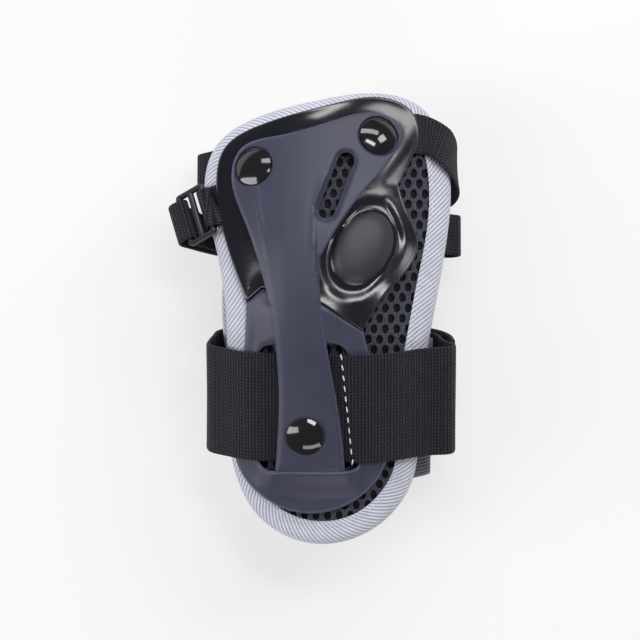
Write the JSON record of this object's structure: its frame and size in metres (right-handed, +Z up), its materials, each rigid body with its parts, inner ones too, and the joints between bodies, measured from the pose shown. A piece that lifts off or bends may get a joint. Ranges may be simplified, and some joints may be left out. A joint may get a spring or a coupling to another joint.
{
  "type": "wrist guard",
  "caption": "Padded wrist guard lying palm side up: bent sleeve, gloss skid plate under a raised splint bar, wide forearm strap and a buckled hand strap.",
  "frame": {"origin": "middle of the guard's footprint on the plane it lies on", "axes": "+Z up, out of the palm side; +Y towards the fingers; +X towards the thumb side"},
  "size_m": [0.1107, 0.1701, 0.0718],
  "materials": {
    "splint": "satin dark grey, fine moulded texture",
    "skid": "gloss black",
    "rivet": "gloss black enamel",
    "washer": "plain zinc-plated",
    "stay": "satin dark grey",
    "mesh": "grey spacer mesh with oval holes",
    "foam": "black foam",
    "lining": "brushed black knit",
    "binding": "light grey twill tape",
    "stretch": "ribbed grey stretch knit",
    "webbing": "ribbed black elastic webbing",
    "buckle": "satin black",
    "loop_tape": "black loop pile",
    "hook_tape": "black moulded hooks"
  },
  "bodies": {
    "guard": {"palm_splint": "splint", "skid_plate": "skid", "rivets": "rivet", "rivet_washers": "washer", "palm_mesh_cover": "mesh", "palm_foam_pad": "foam", "palm_lining": "lining", "palm_edge_binding": "binding", "dorsal_splint": "stay", "dorsal_rivets": "rivet", "dorsal_rivet_washers": "washer", "dorsal_mesh_cover": "mesh", "dorsal_foam_pad": "foam", "dorsal_lining": "lining", "dorsal_edge_binding": "binding", "little_finger_gusset": "stretch", "thumb_side_gusset": "stretch", "thumb_strap": "webbing", "little_finger_strap": "webbing", "forearm_strap": "webbing", "forearm_loop_patch": "loop_tape", "hand_strap": "webbing", "hand_loop_patch": "loop_tape", "buckle_tab": "webbing"},
    "forearm_flap": {"forearm_strap_flap": "webbing", "forearm_hook_patch": "hook_tape"},
    "buckle": {"strap_buckle": "buckle", "hand_strap_loop": "webbing"},
    "hand_strap_end": {"hand_strap_tail": "webbing", "hand_hook_patch": "hook_tape"}
  },
  "joints": [
    {"name": "forearm_flap_peel", "type": "hinge", "parent": "guard", "child": "forearm_flap", "pos_m": [0.04915, -0.02455, 0.02319], "axis": [0, 0.9703, 0.2419], "range_deg": [0, 75]},
    {"name": "buckle_pivot", "type": "hinge", "parent": "guard", "child": "buckle", "pos_m": [-0.0404, 0.0414, 0.0494], "axis": [-0.2657, 0.8905, -0.3693], "range_deg": [0, 25]},
    {"name": "hand_strap_tail_peel", "type": "hinge", "parent": "buckle", "child": "hand_strap_end", "pos_m": [-0.05155, 0.03356, 0.03852], "axis": [-0.2657, 0.8905, -0.3693], "range_deg": [0, 75]}
  ]
}
